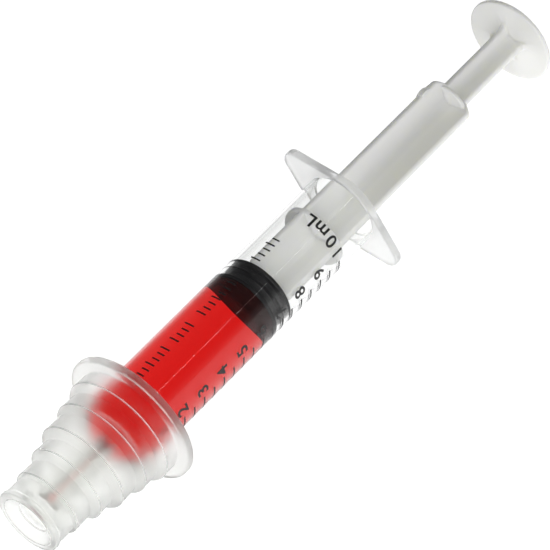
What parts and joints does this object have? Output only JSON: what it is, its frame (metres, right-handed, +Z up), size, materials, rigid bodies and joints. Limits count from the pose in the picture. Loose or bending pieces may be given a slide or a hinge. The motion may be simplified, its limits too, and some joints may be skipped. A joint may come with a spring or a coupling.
{
  "type": "oral syringe",
  "caption": "Clear oral syringe with a ribbed plunger rod, rubber piston, finger wings, red dose and a stepped bottle adapter on its nozzle.",
  "frame": {"origin": "on the table that the syringe lies on, under the axis, at the middle of the overall length; the table's surface touches the adapter's flange", "axes": "+X along the barrel from the tip towards the thumb disc, +Y across, +Z up; the barrel is rolled 47 degrees about +X, so that its -Y finger wing comes down to the table"},
  "size_m": [0.1508, 0.029, 0.029],
  "materials": {
    "barrel_plastic": "clear, faintly hazy polypropylene",
    "print_ink": "black printed ink",
    "piston_rubber": "black moulded rubber, slightly glossy",
    "rod_plastic": "natural milky polypropylene",
    "adapter_plastic": "frosted natural polyethylene",
    "red_dose": "clear red oral liquid"
  },
  "bodies": {
    "barrel": {"barrel": "barrel_plastic", "scale_lines": "print_ink", "dose_liquid": "red_dose"},
    "piston": {"piston": "piston_rubber"},
    "plunger_rod": {"plunger_rod": "rod_plastic"},
    "bottle_adapter": {"bottle_adapter": "adapter_plastic"}
  },
  "joints": [
    {"name": "piston_slide", "type": "slide", "parent": "barrel", "child": "piston", "axis": [1, 0, 0], "range_m": [-0.0388, 0.02], "deforming": ["dose_liquid"]},
    {"name": "rod_swivel", "type": "hinge", "parent": "piston", "child": "plunger_rod", "pos_m": [-0.01016, 0, 0.0145], "axis": [1, 0, 0], "continuous": true},
    {"name": "adapter_pull", "type": "slide", "parent": "barrel", "child": "bottle_adapter", "axis": [-1, 0, 0], "range_m": [0, 0.03]}
  ]
}
